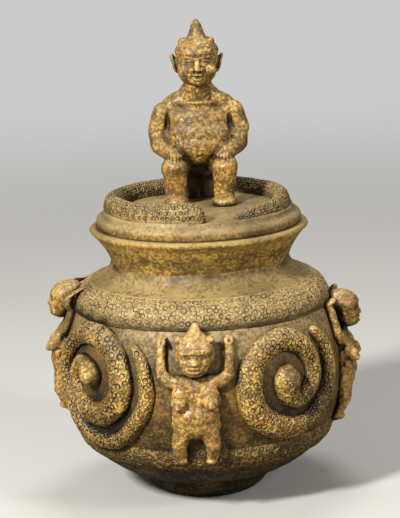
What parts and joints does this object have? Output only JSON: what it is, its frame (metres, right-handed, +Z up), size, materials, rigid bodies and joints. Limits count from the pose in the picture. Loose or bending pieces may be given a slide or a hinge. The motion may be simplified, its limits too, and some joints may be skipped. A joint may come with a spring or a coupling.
{
  "type": "lidded ritual jar",
  "caption": "Round-bellied fired-clay jar on a small foot, with coiled serpents and figures in relief and a lift-off lid carrying a ring serpent and a seated figure.",
  "frame": {"origin": "centre of the foot's flat underside", "axes": "+Z up along the jar's axis; -Y towards the front, where the crested relief figure stands; +X to the right of a viewer at the front"},
  "size_m": [0.2874, 0.2922, 0.4407],
  "materials": {
    "brown_clay": "hand-smoothed unglazed clay, smoke-darkened",
    "burnished_clay": "burnished and worn, mottled ochre and dark",
    "dusty_clay": "ring-stamped clay, dusty on its upper faces",
    "serpent_clay": "ring-stamped clay, ochre on the high points, dark in the hollows",
    "figure_clay": "hand-modelled clay, reddish where it is rubbed"
  },
  "bodies": {
    "jar": {"coiled_serpent_1": "serpent_clay", "coiled_serpent_2": "serpent_clay", "coiled_serpent_3": "serpent_clay", "coiled_serpent_4": "serpent_clay", "figure_1_arms": "figure_clay", "figure_1_cap": "figure_clay", "figure_1_head": "figure_clay", "figure_1_legs": "figure_clay", "figure_1_torso": "figure_clay", "figure_2_arms": "figure_clay", "figure_2_cap": "figure_clay", "figure_2_head": "figure_clay", "figure_2_legs": "figure_clay", "figure_2_torso": "figure_clay", "figure_3_arms": "figure_clay", "figure_3_cap": "figure_clay", "figure_3_head": "figure_clay", "figure_3_legs": "figure_clay", "figure_3_torso": "figure_clay", "figure_4_arms": "figure_clay", "figure_4_cap": "figure_clay", "figure_4_head": "figure_clay", "figure_4_legs": "figure_clay", "figure_4_torso": "figure_clay", "foot": "brown_clay", "jar_bowl": "brown_clay", "lower_band": "brown_clay", "neck_collar": "burnished_clay", "shoulder_band": "dusty_clay"},
    "lid": {"lid_plate": "dusty_clay", "lid_locating_ring": "dusty_clay", "lid_serpent": "serpent_clay", "stool": "figure_clay", "seated_torso": "figure_clay", "seated_head": "figure_clay", "seated_cap": "figure_clay", "seated_left_arm": "figure_clay", "seated_right_arm": "figure_clay", "seated_left_leg": "figure_clay", "seated_right_leg": "figure_clay"}
  },
  "joints": [
    {"name": "lid_lift", "type": "slide", "parent": "jar", "child": "lid", "axis": [0, 0, 1], "range_m": [0, 0.2]}
  ]
}
